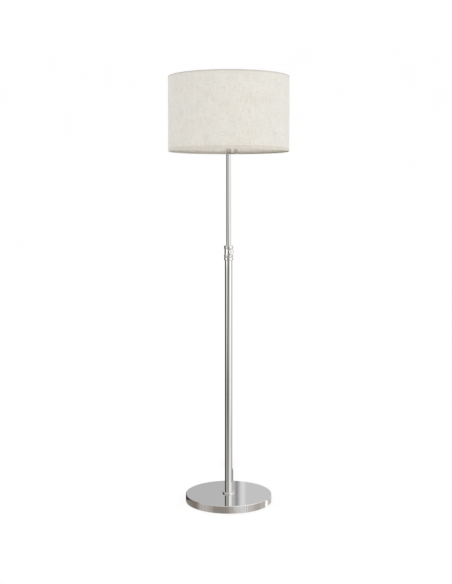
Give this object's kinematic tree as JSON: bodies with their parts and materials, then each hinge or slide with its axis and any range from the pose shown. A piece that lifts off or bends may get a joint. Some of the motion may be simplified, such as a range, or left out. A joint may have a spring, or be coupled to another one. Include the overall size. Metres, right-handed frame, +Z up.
{
  "type": "telescopic floor lamp",
  "caption": "Telescopic floor lamp: round weighted base, two-part sliding pole with a clamp collar and thumb knob, pull-chain lamp holder, harp and drum shade.",
  "frame": {"origin": "on the floor under the axis of the pole, at the middle of the underside of the base", "axes": "+Z up along the pole, front faces -Y, the mains lead leaves the back of the base towards +Y, +X to the right seen from the front"},
  "size_m": [0.3999, 0.7764, 1.41],
  "materials": {
    "felt_pad": "soft felt",
    "cast_iron": "painted casting",
    "chrome_plate": "mirror polished",
    "zinc_steel": "zinc plated",
    "nickel_wire": "nickel plated",
    "white_nylon": "moulded",
    "grey_pvc": "satin extruded",
    "black_tie": "woven strap",
    "dark_plug": "moulded",
    "brass": "bright",
    "fibre_liner": "pressed fibre paper",
    "black_bakelite": "moulded phenolic",
    "linen": "plain woven linen"
  },
  "bodies": {
    "root": {"base_pad": "felt_pad", "base_weight": "cast_iron", "base_cover": "chrome_plate", "base_nipple": "zinc_steel", "base_washer": "zinc_steel", "base_nut": "zinc_steel", "foot_ring": "chrome_plate", "tube_foot_insert": "zinc_steel", "lower_tube": "chrome_plate", "clamp_collar": "chrome_plate", "guide_bush": "white_nylon", "base_lead": "grey_pvc", "strain_relief": "grey_pvc", "cord_lead": "grey_pvc", "cord_hank": "grey_pvc", "hank_tie": "black_tie", "plug_body": "dark_plug", "plug_blades": "brass"},
    "glide": {"glide_bush": "white_nylon", "slack_lead": "grey_pvc"},
    "upper_pole": {"upper_tube": "chrome_plate", "tube_end_plug": "white_nylon", "stop_ring": "zinc_steel", "pole_lead": "grey_pvc", "tube_top_insert": "zinc_steel", "top_nipple": "zinc_steel", "check_ring": "chrome_plate", "harp_saddle": "nickel_wire", "harp": "nickel_wire", "holder_cap": "chrome_plate", "holder_shell": "chrome_plate", "holder_liner": "fibre_liner", "holder_body": "black_bakelite", "screw_shell": "brass", "centre_contact": "brass", "terminal_screws": "brass", "chain_guide": "chrome_plate", "shade_spider": "nickel_wire", "shade_bottom_ring": "nickel_wire", "shade_drum": "linen", "shade_top_hem": "linen", "shade_bottom_hem": "linen", "finial": "chrome_plate"},
    "harp_sleeve_front": {"harp_sleeve_front": "brass"},
    "harp_sleeve_back": {"harp_sleeve_back": "brass"},
    "pull_switch": {"pull_chain": "chrome_plate", "pull_pendant": "chrome_plate"},
    "screw_tip": {"screw_tip": "white_nylon"},
    "thumb_knob": {"thumb_knob": "chrome_plate"}
  },
  "joints": [
    {"name": "pole_slide", "type": "slide", "parent": "root", "child": "glide", "axis": [0, 0, 1], "range_m": [-0.28, 0.175], "deforming": ["slack_lead"]},
    {"name": "pole_swivel", "type": "hinge", "parent": "glide", "child": "upper_pole", "pos_m": [0, 0, 0.82], "axis": [0, 0, 1], "range_deg": [-170, 170]},
    {"name": "tip_press", "type": "slide", "parent": "root", "child": "screw_tip", "axis": [0.3746, -0.9272, 0], "range_m": [0, 0.0015]},
    {"name": "knob_turn", "type": "hinge", "parent": "screw_tip", "child": "thumb_knob", "pos_m": [0, 0, 0.833], "axis": [0.3746, -0.9272, 0], "range_deg": [0, 540]},
    {"name": "chain_pull", "type": "slide", "parent": "upper_pole", "child": "pull_switch", "axis": [0, 0, -1], "range_m": [0, 0.012], "stiffness_N_per_m": 250, "springref_m": -0.002},
    {"name": "front_sleeve_lift", "type": "slide", "parent": "upper_pole", "child": "harp_sleeve_front", "axis": [0, 0, 1], "range_m": [0, 0.012]},
    {"name": "back_sleeve_lift", "type": "slide", "parent": "upper_pole", "child": "harp_sleeve_back", "axis": [0, 0, 1], "range_m": [0, 0.012]}
  ],
  "couplings": [
    {"joint": "knob_turn", "follows": "tip_press", "rad_per_m": 6283.2}
  ]
}
